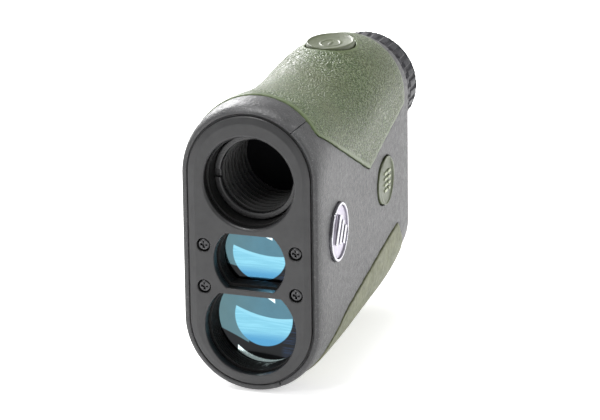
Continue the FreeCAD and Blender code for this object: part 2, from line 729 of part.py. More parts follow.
def battery_cap():
    """Screw cap with a coin slot; its plug reaches into the port."""
    cap = rod(CAP_RADIUS, CAP_START, CAP_START + CAP_THICK, CELL_HEIGHT)
    plug = rod(CELL_RADIUS + 0.9, 77.4, CAP_START + 0.5, CELL_HEIGHT)
    groove = tube(CELL_RADIUS + 2, CELL_RADIUS + 0.1, 78.6, 79.8, CELL_HEIGHT)
    slot = block(-6.5, 6.5, CAP_START + 0.6, FAR, CELL_HEIGHT - 0.9, CELL_HEIGHT + 0.9)
    return cap.fuse(plug).cut(groove).cut(slot)


def cap_seal():
    """Round-section seal in the plug's groove."""
    return Part.makeTorus(CELL_RADIUS + 0.6, 0.45, Vector(0, 79.2, CELL_HEIGHT), AXIS_Y)


# ---- write every piece ----------------------------------------------------------------------
os.makedirs("parts", exist_ok=True)
SHELL = body_shell()
PIECES = {
    "shell_left": shell_left(SHELL),
    "shell_right": shell_right(SHELL),
    "top_skin": top_skin(),
    "bottom_skin": bottom_skin(),
    "front_plate": front_plate(),
    "plate_screws": plate_screws(),
    "plate_gasket": plate_gasket(),
    "optics_frame": optics_frame(),
    "objective_barrel": objective_barrel(),
    "objective_ring": objective_ring(),
    "objective_front_lens": objective_front_lens(),
    "objective_rear_lens": objective_rear_lens(),
    "objective_baffle": objective_baffle(),
    "transmit_hood": path_hood(TRANSMIT, TRANSMIT_LENS_FRONT),
    "transmit_lens": path_lens(TRANSMIT, TRANSMIT_LENS_FRONT, 18.0),
    "receive_hood": path_hood(RECEIVE, RECEIVE_LENS_FRONT),
    "receive_lens": path_lens(RECEIVE, RECEIVE_LENS_FRONT, 22.0),
    "laser_diode": laser_diode(),
    "detector": detector(),
    "detector_filter": detector_filter(),
    "sensor_board": sensor_board(),
    "board_screws": board_screws(),
    "prism_cage": prism_cage(),
    "half_prism": half_prism(),
    "roof_prism": roof_prism(),
    "display_panel": display_panel(),
    "eyepiece_tube": eyepiece_tube(),
    "field_lens": field_lens(),
    "eye_cell": eye_cell(),
    "eye_lens": eye_lens(),
    "focus_ring": focus_ring(),
    "eyecup": eyecup(),
    "fire_button": fire_button(),
    "fire_dome": fire_dome(),
    "fire_switch": fire_switch(),
    "top_board": top_board(),
    "mode_button": mode_button(),
    "mode_plunger": mode_plunger(),
    "mode_switch": mode_switch(),
    "main_board": main_board(),
    "processor": processor(),
    "badge_bezel": badge_bezel(),
    "badge_face": badge_face(),
    "battery_cell": battery_cell(),
    "battery_tube": battery_tube(),
    "battery_spring": battery_spring(),
    "battery_cap": battery_cap(),
    "cap_seal": cap_seal(),
    "lanyard_loop": lanyard_loop(),
}
for name, piece in PIECES.items():
    save(piece, name)
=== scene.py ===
import json
import math

import bmesh
import bpy
from mathutils import Matrix, Vector
from mathutils.kdtree import KDTree


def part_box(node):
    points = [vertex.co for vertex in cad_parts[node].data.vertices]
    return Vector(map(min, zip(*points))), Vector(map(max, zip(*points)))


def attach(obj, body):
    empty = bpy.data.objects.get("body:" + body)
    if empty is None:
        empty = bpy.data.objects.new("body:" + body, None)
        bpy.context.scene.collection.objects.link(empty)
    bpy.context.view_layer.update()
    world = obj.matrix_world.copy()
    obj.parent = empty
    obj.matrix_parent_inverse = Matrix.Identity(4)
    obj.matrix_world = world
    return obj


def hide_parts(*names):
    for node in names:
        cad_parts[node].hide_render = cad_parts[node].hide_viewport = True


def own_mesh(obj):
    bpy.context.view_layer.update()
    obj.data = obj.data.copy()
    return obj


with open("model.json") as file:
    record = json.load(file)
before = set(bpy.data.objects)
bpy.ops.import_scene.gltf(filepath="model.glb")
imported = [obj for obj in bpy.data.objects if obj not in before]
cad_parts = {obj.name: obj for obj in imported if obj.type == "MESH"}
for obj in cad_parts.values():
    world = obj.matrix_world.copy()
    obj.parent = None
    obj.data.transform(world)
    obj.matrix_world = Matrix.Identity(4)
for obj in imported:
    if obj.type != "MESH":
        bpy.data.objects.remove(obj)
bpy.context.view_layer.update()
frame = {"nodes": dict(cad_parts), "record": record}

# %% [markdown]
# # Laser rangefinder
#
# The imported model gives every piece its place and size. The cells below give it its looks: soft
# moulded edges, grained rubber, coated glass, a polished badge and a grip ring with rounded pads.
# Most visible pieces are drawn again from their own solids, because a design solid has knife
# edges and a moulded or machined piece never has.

nodes = frame["nodes"]
MM = 0.001
ring_low, ring_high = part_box("objective_ring")
axis_height = (ring_low.z + ring_high.z) / 2
plate_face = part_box("front_plate")[0].y
print("optical axis is", round(axis_height / MM, 2), "mm above the table")


def place(x, y, z):
    """A point given in mm from the objective's axis at the plate's face."""
    return Vector((x * MM, plate_face + y * MM, axis_height + z * MM))


slot_of = {part["node"]: part["material_slot"] for part in frame["record"]["subparts"]}
print(len(slot_of), "pieces take", len(set(slot_of.values())), "finishes")

# %% [markdown]
# ## Finishes
# Each finish is a small node tree around one shader. The helpers below add a node, join two
# sockets, make noise of a real grain size, turn a number into a colour, and turn a height in
# millimetres into bump. With these, a finish reads like a recipe.

# %% Helpers for node trees
def new_finish(name, colour, roughness, metallic=0.0):
    """A finish whose shader has plain values to begin with."""
    finish = bpy.data.materials.new(name)
    finish.use_nodes = True
    shader = shader_of(finish)
    shader.inputs["Base Color"].default_value = (*colour, 1)
    shader.inputs["Roughness"].default_value = roughness
    shader.inputs["Metallic"].default_value = metallic
    return finish


def shader_of(finish):
    return finish.node_tree.nodes["Principled BSDF"]


def add(finish, kind, **values):
    """A node; each value fills an input of that name, or else a setting."""
    node = finish.node_tree.nodes.new(kind)
    for key, value in values.items():
        label = key.replace("_", " ").title()
        if label in node.inputs:
            node.inputs[label].default_value = value
        else:
            setattr(node, key, value)
    return node


def feed(finish, value, socket):
    """Join an output to a socket, or set the socket to a plain value."""
    if hasattr(value, "is_linked"):
        finish.node_tree.links.new(value, socket)
    elif isinstance(value, tuple) and len(value) == 3 and socket.type == "RGBA":
        socket.default_value = (*value, 1)
    else:
        socket.default_value = value


def where(finish):
    return add(finish, "ShaderNodeTexCoord").outputs["Object"]


def noise(finish, grain_mm, detail=3.0):
    """Noise whose grains are about this wide."""
    node = add(finish, "ShaderNodeTexNoise", scale=1 / (grain_mm * MM), detail=detail)
    feed(finish, where(finish), node.inputs["Vector"])
    return node.outputs["Fac"]


def ramp(finish, source, *stops):
    """Turns a number into a colour; each stop is a place and a grey or a colour."""
    node = add(finish, "ShaderNodeValToRGB")
    feed(finish, source, node.inputs["Fac"])
    elements = node.color_ramp.elements
    for i, (position, colour) in enumerate(stops):
        element = elements[i] if i < 2 else elements.new(position)
        element.position = position
        rgb = colour if isinstance(colour, tuple) else (colour,) * 3
        element.color = (*rgb, 1)
    return node.outputs["Color"]


def bump(finish, height, depth_mm, onto=None):
    """Bump of a real depth; onto is a bump below it."""
    node = add(finish, "ShaderNodeBump", strength=1.0, distance=depth_mm * MM)
    feed(finish, height, node.inputs["Height"])
    if onto is not None:
        feed(finish, onto, node.inputs["Normal"])
    return node.outputs["Normal"]


def mix(finish, share, first, second):
    """Blend of two colours; share 0 gives the first."""
    node = add(finish, "ShaderNodeMix", data_type="RGBA")
    feed(finish, share, node.inputs[0])
    feed(finish, first, node.inputs[6])
    feed(finish, second, node.inputs[7])
    return node.outputs[2]


def maths(finish, operation, *values):
    node = add(finish, "ShaderNodeMath", operation=operation)
    for i, value in enumerate(values):
        feed(finish, value, node.inputs[i])
    return node.outputs[0]


def lighter_edges(finish, base, bright, amount):
    """Lighter colour along sharp edges: wear where hands rub, and on the screws' heads a painted
    glint.
    """
    point = add(finish, "ShaderNodeNewGeometry").outputs["Pointiness"]
    edge = ramp(finish, point, (0.53, 0.0), (0.64, amount))
    return mix(finish, edge, base, bright)


def dress(finish, colour=None, roughness=None, normal=None):
    """Put the worked-out parts into the shader."""
    shader = shader_of(finish)
    for name, value in (("Base Color", colour), ("Roughness", roughness), ("Normal", normal)):
        if value is not None:
            feed(finish, value, shader.inputs[name])
    return finish


# %% [markdown]
# ### Body polymer
# The two covers are glass-filled nylon. The mould is spark-eroded, which leaves a fine matt grain
# with a larger, softer orange-peel under it. The colour is nearly black; in soft light the grazing
# sheen turns the flank grey.

# %% Body polymer
def body_polymer():
    finish = new_finish("body_polymer", (0.05, 0.05, 0.052), 0.45)
    dark, light = (0.033, 0.033, 0.034), (0.050, 0.050, 0.052)
    mottle = ramp(finish, noise(finish, 2.2), (0.3, dark), (0.7, light))
    specks = ramp(finish, noise(finish, 0.35, 2), (0.60, 0.0), (0.70, 0.7))
    colour = mix(finish, specks, mottle, (0.12, 0.12, 0.12))
    colour = lighter_edges(finish, colour, (0.13, 0.13, 0.135), 0.4)
    roughness = ramp(finish, noise(finish, 1.1, 2), (0.3, 0.38), (0.7, 0.52))
    peel = bump(finish, noise(finish, 0.6, 2), 0.13)
    grain = bump(finish, noise(finish, 0.25, 2), 0.06, peel)
    return dress(finish, colour, roughness, grain)


# %% [markdown]
# ### Grained rubber
# The top skin is moulded with a leather grain: small pebbles, about half a millimetre across,
# between narrow creases. Smooth Voronoi cells in slightly warped space give that. Its colour has
# painted shade in the creases and painted light on the pebble tops, and the small light specks
# over it are painted highlights. The border is smooth, so the mesh carries each point's distance
# from the border and the grain fades out there.

# %% Grained rubber
def grained_rubber():
    finish = new_finish("grained_rubber", (0.06, 0.085, 0.03), 0.45)
    shader_of(finish).inputs["Specular IOR Level"].default_value = 0.36
    coords = where(finish)
    drift = add(finish, "ShaderNodeTexNoise", scale=900.0, detail=2.0)
    feed(finish, coords, drift.inputs["Vector"])
    warp = add(finish, "ShaderNodeVectorMath", operation="MULTIPLY_ADD")
    feed(finish, drift.outputs["Color"], warp.inputs[0])
    warp.inputs[1].default_value = (0.0007,) * 3
    feed(finish, coords, warp.inputs[2])
    pebbles = add(finish, "ShaderNodeTexVoronoi", feature="SMOOTH_F1", scale=1750.0,
                  smoothness=0.35)
    feed(finish, warp.outputs[0], pebbles.inputs["Vector"])
    height = ramp(finish, pebbles.outputs["Distance"], (0.10, 1.0), (0.62, 0.0))
    border = add(finish, "ShaderNodeAttribute", attribute_name="border").outputs["Fac"]
    inside = ramp(finish, border, (0.20, 0.0), (0.30, 1.0))
    normal = bump(finish, maths(finish, "MULTIPLY", height, inside), 0.42)
    normal = bump(finish, noise(finish, 0.12, 2), 0.012, normal)
    # painted shade and light: the creases are darker and the pebble tops lighter
    grain = mix(finish, height, (0.022, 0.040, 0.008), (0.085, 0.130, 0.036))
    # painted highlights: small light specks over the grain
    specks = ramp(finish, noise(finish, 0.42, 2), (0.50, 0.0), (0.64, 0.55))
    grain = mix(finish, maths(finish, "MULTIPLY", specks, inside), grain, (0.32, 0.36, 0.23))
    colour = mix(finish, inside, (0.095, 0.125, 0.060), grain)
    olive = ramp(finish, noise(finish, 14.0, 2), (0.35, 0.0), (0.7, 0.35))
    colour = mix(finish, olive, colour, (0.085, 0.088, 0.042))
    roughness = ramp(finish, noise(finish, 0.8, 2), (0.3, 0.33), (0.7, 0.44))
    return dress(finish, colour, roughness, normal)


# %% [markdown]
# ### Belly rubber
# The lower skin has a finer texture and is a little yellower. Slow noise gives the cloudy tone of
# a moulding, a smaller one its spots of soil, and two bumps its coarse and fine grain.

# %% Belly rubber
def belly_rubber():
    finish = new_finish("belly_rubber", (0.11, 0.12, 0.06), 0.55)
    dark, light = (0.095, 0.102, 0.050), (0.150, 0.158, 0.085)
    tone = ramp(finish, noise(finish, 5.0, 4), (0.3, dark), (0.7, light))
    soil = ramp(finish, noise(finish, 0.9, 3), (0.35, 0.35), (0.6, 0.0))
    colour = mix(finish, soil, tone, (0.055, 0.062, 0.032))
    marks = bump(finish, noise(finish, 1.6, 3), 0.16)
    normal = bump(finish, noise(finish, 0.28, 2), 0.04, marks)
    roughness = ramp(finish, noise(finish, 1.4, 2), (0.3, 0.46), (0.7, 0.62))
    return dress(finish, colour, roughness, normal)


# %% [markdown]
# ### Metals, mouldings and rubber parts
# Two recipes cover the rest. A bead-blasted or turned metal has a fine sparkle; a moulding has a
# softer, larger grain. Both vary in tone and gloss, so that no surface is one flat colour.

# %% Recipes for metals and mouldings
def worked(name, colour, roughness, grain_mm, depth_mm, metallic, wear_and_glint=0.0):
    """Tone, gloss and grain that vary around the given values."""
    finish = new_finish(name, colour, roughness, metallic)
    dark = tuple(c * 0.85 for c in colour)
    light = tuple(min(1.0, c * 1.18) for c in colour)
    tone = ramp(finish, noise(finish, 3.5), (0.3, dark), (0.7, light))
    if wear_and_glint:
        tone = lighter_edges(finish, tone, tuple(min(1.0, c * 3 + 0.03) for c in colour), wear_and_glint)
    smooth, rough = roughness * 0.85, min(1.0, roughness * 1.15)
    gloss = ramp(finish, noise(finish, 0.9, 2), (0.3, smooth), (0.7, rough))
    return dress(finish, tone, gloss, bump(finish, noise(finish, grain_mm, 2), depth_mm))


def metal(name, colour, roughness, wear_and_glint=0.0):
    return worked(name, colour, roughness, 0.22, 0.008, 1.0, wear_and_glint)


def moulding(name, colour, roughness, wear_and_glint=0.0):
    return worked(name, colour, roughness, 0.35, 0.02, 0.0, wear_and_glint)


def blasted(name, colour, roughness, wear_and_glint=0.0):
    """Dyed, bead-blasted aluminium; the dye layer shines like a lacquer."""
    return worked(name, colour, roughness, 0.24, 0.022, 0.0, wear_and_glint)


# %% [markdown]
# ### Clear and hidden glass
# The objective sits deep in a ribbed tube and shows almost black. The eye lens is plain glass.

# %% Glass for the objective and the eye lens
def dark_glass():
    finish = new_finish("dark_glass", (0.011, 0.011, 0.012), 0.06)
    shader_of(finish).inputs["Specular IOR Level"].default_value = 0.0
    return dress(finish, None, ramp(finish, noise(finish, 3.0, 1), (0.4, 0.10), (0.8, 0.14)))


def clear_glass():
    finish = new_finish("clear_glass", (0.85, 0.93, 0.97), 0.02)
    shader = shader_of(finish)
    shader.inputs["Transmission Weight"].default_value = 1.0
    shader.inputs["IOR"].default_value = 1.25
    return dress(finish, None, ramp(finish, noise(finish, 0.6), (0.6, 0.0), (0.9, 0.05)))


# %% [markdown]
# ### Finishes that depend on place
# The walls of the plate's openings get painted shade: they turn black a little behind the face.
# The inside of the objective's ribbed tube gets painted light, a lighter black, so that its ribs
# show. Both could be painted on the mesh. The depth behind the plate's face and the distance from
# the axis say the same with no mesh data, so the finish works them out from object coordinates.

# %% Plate and ribbed tube
def in_mm(finish, axis, start=0.0):
    """Coordinate along one axis, in mm from a start."""
    split = add(finish, "ShaderNodeSeparateXYZ")
    feed(finish, where(finish), split.inputs[0])
    return maths(finish, "MULTIPLY_ADD", split.outputs[axis], 1 / MM, -start / MM)


def reach_from(finish, x, z, centre_x=0.0, centre_z=0.0):
    """How far a place is from a centre, seen from the front."""
    dx = maths(finish, "SUBTRACT", x, centre_x)
    dz = maths(finish, "SUBTRACT", z, centre_z)
    squares = [maths(finish, "MULTIPLY", d, d) for d in (dx, dz)]
    return maths(finish, "SQRT", maths(finish, "ADD", *squares))


def tint(finish, share, colour):
    """Blend the shader's colour towards another one."""
    socket = shader_of(finish).inputs["Base Color"]
    feed(finish, mix(finish, share, socket.links[0].from_socket, colour), socket)
    return finish


def plate_metal():
    """The plate's dye, with painted shade, black, on the walls of its openings."""
    finish = blasted("plate_anodised", (0.022, 0.022, 0.023), 0.4, wear_and_glint=0.35)
    depth = in_mm(finish, "Y", plate_face)
    # painted shade: the walls turn black between about 0.6 and 1.1 mm behind the face
    wall_shade = ramp(finish, maths(finish, "MULTIPLY", depth, 0.5), (0.32, 0.0), (0.55, 1.0))
    return tint(finish, wall_shade, (0.004, 0.004, 0.004))


def ribbed_black(inside_radius=10.6):
    """Matt black with painted light on the tube's inside: its ribs and the wall between them are
    lighter.
    """
    finish = moulding("ribbed_black", (0.007, 0.007, 0.007), 0.45)
    x, z = in_mm(finish, "X"), in_mm(finish, "Z", axis_height)
    # painted light: inside this radius the black is lighter, so the ribs show as if lit
    inside = maths(finish, "LESS_THAN", reach_from(finish, x, z), inside_radius)
    return tint(finish, inside, (0.085, 0.085, 0.085))


# %% [markdown]
# ### All finishes
# One table names every finish. The inner pieces get theirs too, so that each piece can be looked
# at on its own.

# %% Table of finishes
finishes = {
    "shell_polymer": body_polymer(),
    "skin_rubber": grained_rubber(),
    "belly_rubber": belly_rubber(),
    "plate_anodised": plate_metal(),
    # painted glint: the screws' lighter edges stand for a light ring on each head
    "screw_black": metal("screw_black", (0.06, 0.06, 0.062), 0.28, wear_and_glint=0.8),
    "seal_rubber": moulding("seal_rubber", (0.03, 0.03, 0.031), 0.6),
    "optics_black": moulding("optics_black", (0.006, 0.006, 0.006), 0.6),
    "barrel_black": blasted("barrel_black", (0.028, 0.028, 0.029), 0.3, wear_and_glint=0.9),
    "coated_glass": dark_glass(),
    "clear_glass": clear_glass(),
    "board_green": moulding("board_green", (0.02, 0.12, 0.05), 0.35),
    "chip_black": moulding("chip_black", (0.02, 0.02, 0.02), 0.5),
    "can_metal": metal("can_metal", (0.7, 0.6, 0.4), 0.25),
    "focus_rubber": moulding("focus_rubber", (0.018, 0.018, 0.022), 0.48, wear_and_glint=0.25),
    "cup_rubber": moulding("cup_rubber", (0.014, 0.014, 0.015), 0.6),
    "button_polymer": moulding("button_polymer", (0.075, 0.088, 0.048), 0.42, wear_and_glint=0.5),
    "badge_chrome": metal("badge_chrome", (0.46, 0.455, 0.49), 0.16),
    "badge_satin": metal("badge_satin", (0.40, 0.375, 0.44), 0.36),
    "cell_jacket": metal("cell_jacket", (0.1, 0.15, 0.3), 0.3),
    "spring_steel": metal("spring_steel", (0.6, 0.6, 0.6), 0.25),
    "dome_silicone": moulding("dome_silicone", (0.45, 0.45, 0.42), 0.6),
}
for name, slot in slot_of.items():
    nodes[name].data.materials.clear()
    nodes[name].data.materials.append(finishes[slot])
nodes["objective_baffle"].data.materials[0] = ribbed_black()
nodes["objective_barrel"].data.materials[0] = finishes["optics_black"]
print(len(finishes), "finishes on", len(slot_of), "pieces")

# %% [markdown]
# ## Moulded and machined pieces
# Most visible pieces are drawn again with an even, fine mesh. A voxel remesh keeps the solid's
# shape and turns its knife edges into small radii, and a few smoothing passes settle the surface.
# A small piece takes small cells, so that its radii stay in proportion.

# %% Redraw a piece with soft edges
def keep_shape(piece):
    """Make the modified shape the piece's own mesh."""
    graph = bpy.context.evaluated_depsgraph_get()
    mesh = bpy.data.meshes.new_from_object(piece.evaluated_get(graph))
    piece.modifiers.clear()
    piece.data = mesh


def new_piece(name, mesh, stands_for, beside=None):
    """A piece that stands for one node, or lies beside one, and moves with it."""
    node_name = stands_for or beside
    piece = bpy.data.objects.new(name, mesh)
    bpy.context.scene.collection.objects.link(piece)
    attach(piece, body_of(node_name))
    if stands_for:
        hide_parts(stands_for)
    return piece


def body_of(node_name):
    """The moving body that holds a node."""
    bodies = frame["record"]["behaviour"]["bodies"]
    return next(name for name, members in bodies.items() if node_name in members)


def soften(piece, cell_mm, passes, finish):
    """Even mesh with small radii in place of the sharp edges."""
    remesh = piece.modifiers.new("even", "REMESH")
    remesh.mode = "VOXEL"
    remesh.voxel_size = cell_mm * MM
    smooth = piece.modifiers.new("settle", "SMOOTH")
    smooth.factor = 0.5
    smooth.iterations = passes
    keep_shape(piece)
    piece.data.materials.clear()
    piece.data.materials.append(finish)
    piece.data.shade_smooth()


def redrawn(node_name, cell_mm, passes=3, extra=()):
    """A node's soft-edged copy; extra meshes are joined to it first."""
    piece = new_piece(node_name + "_soft", nodes[node_name].data.copy(), node_name)
    if extra:
        join(piece, extra)
    soften(piece, cell_mm, passes, finishes[slot_of[node_name]])
    print(node_name, "has", len(piece.data.polygons), "faces")
    return piece


def join(piece, meshes):
    """Add closed meshes to a piece's mesh; the remesh fuses them."""
    verts = [v.co.copy() for v in piece.data.vertices]
    faces = [tuple(p.vertices) for p in piece.data.polygons]
    for points, loops in meshes:
        start = len(verts)
        verts += points
        faces += [tuple(start + i for i in loop) for loop in loops]
    mesh = bpy.data.meshes.new(piece.name)
    mesh.from_pydata(verts, [], faces)
    piece.data = mesh


for covers in ("shell_left", "shell_right"):
    redrawn(covers, 0.3, 2)
redrawn("front_plate", 0.15, 1)
redrawn("focus_ring", 0.2, 2)
redrawn("eyecup", 0.25, 3)
redrawn("battery_cap", 0.2, 2)
redrawn("objective_ring", 0.14, 1)

# %% [markdown]
# ## Skins
# The skins are redrawn in the same way, and each point then gets its distance from the skin's
# sharp outline, which the grain and the border need.

# %% Distance from a skin's outline
def sharp_points(mesh, spacing_mm=0.4):
    """Points along the edges where two faces meet at a sharp angle."""
    normals = {}
    for polygon in mesh.polygons:
        for key in polygon.edge_keys:
            normals.setdefault(key, []).append(polygon.normal.copy())
    points = []
    for (a, b), pair in normals.items():
        if len(pair) == 2 and pair[0].angle(pair[1], 0.0) > math.radians(50):
            start, end = mesh.vertices[a].co, mesh.vertices[b].co
            steps = max(1, int((end - start).length / (spacing_mm * MM)))
            points += [start.lerp(end, i / steps) for i in range(steps + 1)]
    return points


def welded(mesh):
    """The mesh with its coincident corners joined, so that faces share edges."""
    work = bmesh.new()
    work.from_mesh(mesh)
    bmesh.ops.remove_doubles(work, verts=work.verts, dist=0.002 * MM)
    joined = bpy.data.meshes.new("welded")
    work.to_mesh(joined)
    work.free()
    return joined


def skin(node_name, cell_mm, passes, reach_mm=4.0):
    """A redrawn skin whose points know their distance from its outline."""
    piece = redrawn(node_name, cell_mm, passes)
    outline = sharp_points(welded(nodes[node_name].data))
    tree = KDTree(len(outline))
    for i, point in enumerate(outline):
        tree.insert(point, i)
    tree.balance()
    border = piece.data.attributes.new("border", "FLOAT", "POINT")
    for i, vertex in enumerate(piece.data.vertices):
        border.data[i].value = min(1.0, tree.find(vertex.co)[2] / (reach_mm * MM))
    print(node_name, "outline has", len(outline), "points")


skin("top_skin", 0.25, 3)
skin("bottom_skin", 0.28, 3)

# %% [markdown]
# ## Screws
# Four small screws with domed heads hold the plate. A turned profile makes the head and shank, and
# a tapered cross is cut out of it with a boolean, as the punch does on a real screw.

# %% Turned profiles and screws
def turned(profile, segments, x=0.0, z=0.0):
    """Points and faces of a profile (radius, depth in mm) turned about an axis along Y."""
    points = []
    for radius, y in profile:
        for i in range(segments):
            angle = 2 * math.pi * i / segments
            points.append(place(x + radius * math.cos(angle), y, z + radius * math.sin(angle)))
    faces = [tuple(reversed(range(segments)))]
    for row in range(len(profile) - 1):
        for i in range(segments):
            j = (i + 1) % segments
            a, b = row * segments, (row + 1) * segments
            faces.append((a + i, a + j, b + j, b + i))
    last = (len(profile) - 1) * segments
    faces.append(tuple(range(last, last + segments)))
    return points, faces


def mesh_from(name, points, faces):
    """A mesh whose faces all look outwards."""
    mesh = bpy.data.meshes.new(name)
    mesh.from_pydata(points, [], faces)
    work = bmesh.new()
    work.from_mesh(mesh)
    bmesh.ops.recalc_face_normals(work, faces=work.faces)
    work.to_mesh(mesh)
    work.free()
    return mesh


def cross_punch(x, z, front, rear, long_half, arm_half, taper):
    """Cross-shaped plug that narrows towards its rear."""
    points, faces = [], []
    for y, scale in ((front, 1.0), (rear, taper)):
        for turn in range(4):
            c, s = ((1, 0), (0, 1), (-1, 0), (0, -1))[turn]
            for u, v in ((long_half, -arm_half), (long_half, arm_half), (arm_half, arm_half)):
                points.append(place(x + scale * (u * c - v * s), y, z + scale * (u * s + v * c)))
    count = len(points) // 2
    faces.append(tuple(reversed(range(count))))
    faces.append(tuple(range(count, 2 * count)))
    for i in range(count):
        j = (i + 1) % count
        faces.append((i, j, count + j, count + i))
    return points, faces


def cut(piece, points, faces):
    """Take a closed shape away from a piece."""
    cutter = bpy.data.objects.new("cutter", mesh_from("cutter", points, faces))
    bpy.context.scene.collection.objects.link(cutter)
    boolean = piece.modifiers.new("cut", "BOOLEAN")
    boolean.object = cutter
    boolean.solver = "EXACT"
    keep_shape(piece)
    bpy.data.objects.remove(cutter)


def screws():
    crown_radius, dome_radius, head_radius, shank_radius = 0.9, 1.25, 1.55, 0.9
    head_end, shank_end = 0.8, 5.8
    recess_end, long_half, arm_half, taper = 0.62, 1.05, 0.33, 0.6
    low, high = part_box("plate_screws")
    to_x = high.x / MM - head_radius
    heights = ((high.z - axis_height) / MM - head_radius, (low.z - axis_height) / MM + head_radius)
    top = (low.y - plate_face) / MM
    profile = [(crown_radius, top + 0.02), (dome_radius, top + 0.06), (head_radius, top + 0.26),
               (head_radius, top + head_end), (shank_radius, top + head_end),
               (shank_radius, top + shank_end)]
    points, faces = [], []
    plugs = []
    for x in (-to_x, to_x):
        for z in heights:
            head, loops = turned(profile, 32, x, z)
            faces += [tuple(len(points) + i for i in loop) for loop in loops]
            points += head
            plug = cross_punch(x, z, top - 0.2, top + recess_end, long_half, arm_half, taper)
            plugs.append(plug)
    name = "plate_screws_soft"
    piece = new_piece(name, mesh_from(name, points, faces), "plate_screws")
    for plug in plugs:
        cut(piece, *plug)
    soften(piece, 0.06, 1, finishes["screw_black"])
    print("screws stand", round(top, 2), "mm below the plate's face")


screws()

# %% [markdown]
# ## Lenses
# Both lower lenses are moulded glass with a dished front. A blue coating covers them, and its
# colour carries painted light: a bright aperture of painted reflection inside a duller seat, and
# painted shade over the dark lower seat. The mesh carries each point's place on the lens in mm,
# and the finish draws the aperture, its curved upper limit and the dark lower seat from that, so
# the pattern stays in its place from every side. The same function also draws the objective's
# front glass, nearly flat and with one dark finish.

# %% Lens meshes
REAR_DOME = 2.0  # the design's rears are domed; these end flat, this much before the domes' tops


def lens_piece(name, node_name, centre_z, dish_mm, finish, forward=0.0, inset=0.0):
    """Dished glass; its outline is a circle cut off at the top and the bottom of its node."""
    rings, segments = 40, 160
    low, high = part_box(node_name)
    radius = (high.x - low.x) / 2 / MM - inset
    bottom = (low.z - axis_height) / MM - centre_z
    top = (high.z - axis_height) / MM - centre_z
    front = (low.y - plate_face) / MM - forward
    rear = (high.y - plate_face) / MM - REAR_DOME
    sag = dish_mm - math.sqrt(dish_mm ** 2 - radius ** 2)
    points, flat = [], []
    for ring in range(rings + 1):
        for i in range(segments):
            angle = 2 * math.pi * i / segments
            c, s = math.cos(angle), math.sin(angle)
            limit = top if s > 0 else -bottom
            reach = min(radius, limit / abs(s)) if s else radius
            x, z = reach * c * ring / rings, reach * s * ring / rings
            depth = front + sag - (dish_mm - math.sqrt(dish_mm ** 2 - x * x - z * z))
            points.append(place(x, depth, centre_z + z))
            flat.append((x, z))
    edge = rings * segments
    for i in range(segments):
        x, z = flat[edge + i]
        points.append(place(x, rear, centre_z + z))
        flat.append((x, z))
    faces = []
    for ring in range(rings + 1):
        for i in range(segments):
            j = (i + 1) % segments
            a, b = ring * segments, (ring + 1) * segments
            faces.append((a + i, a + j, b + j, b + i))
    faces.append(tuple(range(edge + segments, edge + 2 * segments)))
    mesh = mesh_from(name, points, faces)
    for label, axis in (("across", 0), ("above", 1)):
        layer = mesh.attributes.new(label, "FLOAT", "POINT")
        for i, pair in enumerate(flat):
            layer.data[i].value = pair[axis]
    mesh.materials.append(finish)
    mesh.shade_smooth()
    new_piece(name, mesh, node_name)
    print(name, "radius", round(radius, 2), "mm, front", round(front, 2), "mm deep")


# %% Masks for places on a lens
SOFT_EDGE = 0.12


def below(finish, value, limit, soft=SOFT_EDGE):
    """One where value is under limit, with a narrow soft edge."""
    node = add(finish, "ShaderNodeMapRange", interpolation_type="SMOOTHSTEP", clamp=True)
    feed(finish, maths(finish, "SUBTRACT", value, limit), node.inputs["Value"])
    node.inputs["From Min"].default_value = -soft
    node.inputs["From Max"].default_value = soft
    node.inputs["To Min"].default_value = 1.0
    node.inputs["To Max"].default_value = 0.0
    return node.outputs["Result"]


def both(finish, *masks):
    """One where all masks are one."""
    result = masks[0]
    for mask in masks[1:]:
        result = maths(finish, "MULTIPLY", result, mask)
    return result


def arc_at(finish, x, arc):
    """Height of a shallow arc, given as its lowest height, where that is, and its bend."""
    lowest, lowest_x, bend = arc
    dx = maths(finish, "SUBTRACT", x, lowest_x)
    return maths(finish, "MULTIPLY_ADD", maths(finish, "MULTIPLY", dx, dx), bend, lowest)


def corner(finish, x, z, slope, height, right):
    """Triangle above a falling line and left of a limit."""
    line = maths(finish, "MULTIPLY_ADD", x, -slope, height)
    return both(finish, below(finish, line, z), below(finish, x, right))


def crescent_at(finish, x, z, crescent):
    """Sliver between an outer circle and a larger, shifted inner one, at the lens's bottom."""
    outer, centre_x, centre_z, inner, left = crescent
    ceiling = -6.0
    inside = below(finish, reach_from(finish, x, z), outer)
    outside = below(finish, inner, reach_from(finish, x, z, centre_x, centre_z))
    return both(finish, inside, outside, below(finish, left, x), below(finish, z, ceiling))


def reflection_streaks(finish, x, z):
    """Thin level streaks of painted reflection."""
    texture = add(finish, "ShaderNodeTexNoise", scale=1.0, detail=2.0)
    stretch = add(finish, "ShaderNodeCombineXYZ")
    feed(finish, maths(finish, "MULTIPLY", x, 0.12), stretch.inputs[0])
    feed(finish, maths(finish, "MULTIPLY", z, 2.4), stretch.inputs[1])
    feed(finish, stretch.outputs[0], texture.inputs["Vector"])
    return ramp(finish, texture.outputs["Fac"], (0.45, 0.0), (0.65, 1.0))


print("masks are soft over", 2 * SOFT_EDGE, "mm")

# %% [markdown]
# ### Coating and its painted light
# Four colours make the coating: cyan in the clear aperture, blue at its bottom, teal above the
# aperture and at the left, and black over the rest of the seat. The cyan and the blue are a
# painted reflection, with a paler band along the arc as a painted highlight, and the black is
# painted shade. A white corner, and a pale crescent on the receive lens, are painted highlights
# where the edges catch light.

